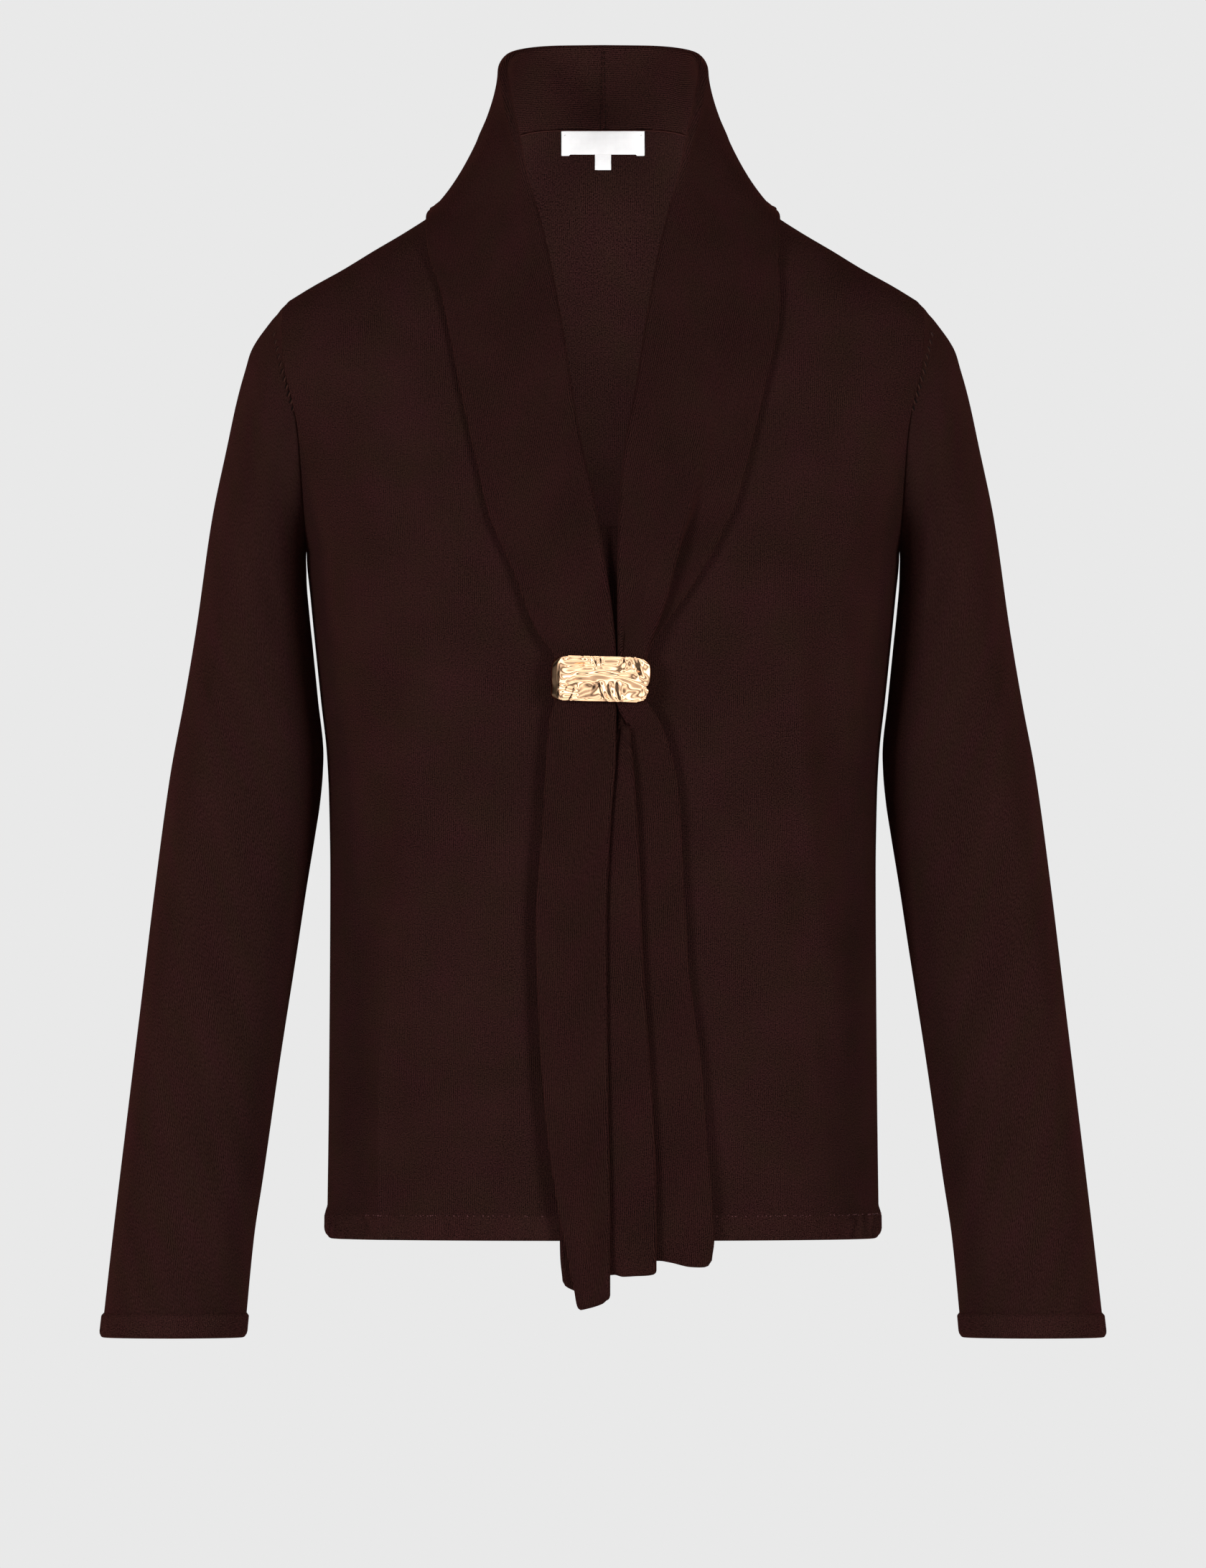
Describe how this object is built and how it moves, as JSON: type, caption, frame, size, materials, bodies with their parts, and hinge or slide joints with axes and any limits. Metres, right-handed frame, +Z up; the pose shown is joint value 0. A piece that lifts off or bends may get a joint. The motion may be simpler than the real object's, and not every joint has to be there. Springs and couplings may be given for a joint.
{
  "type": "shawl collar sweater",
  "caption": "Long-sleeved pullover, worn-out hollow form: wide shawl collar whose ends gather through a metal slide and hang as two tails, ribbed hem and cuffs.",
  "frame": {"origin": "midway between the tops of the two shoulder seams, where the wearer's neck and shoulders hold the garment", "axes": "+Z up, -Y towards the front of the garment, +X towards the wearer's left"},
  "size_m": [0.5834, 0.2299, 0.75],
  "materials": {
    "knit": "fine-gauge plain knit, dark chocolate brown",
    "collar_rib": "fine ribbed knit, dark chocolate brown",
    "band_rib": "fine ribbed knit edge, dark chocolate brown",
    "gold_metal": "pale gold plate, beaten and polished",
    "label_satin": "white satin ribbon, bare"
  },
  "bodies": {
    "root": {"front_panel": "knit", "back_panel": "knit", "sleeve_right": "knit", "sleeve_left": "knit", "collar_right": "collar_rib", "collar_left": "collar_rib", "front_hem_band": "band_rib", "back_hem_band": "band_rib", "cuff_right": "band_rib", "cuff_left": "band_rib", "buckle": "gold_metal", "neck_label": "label_satin", "size_tab": "label_satin"}
  },
  "joints": []
}
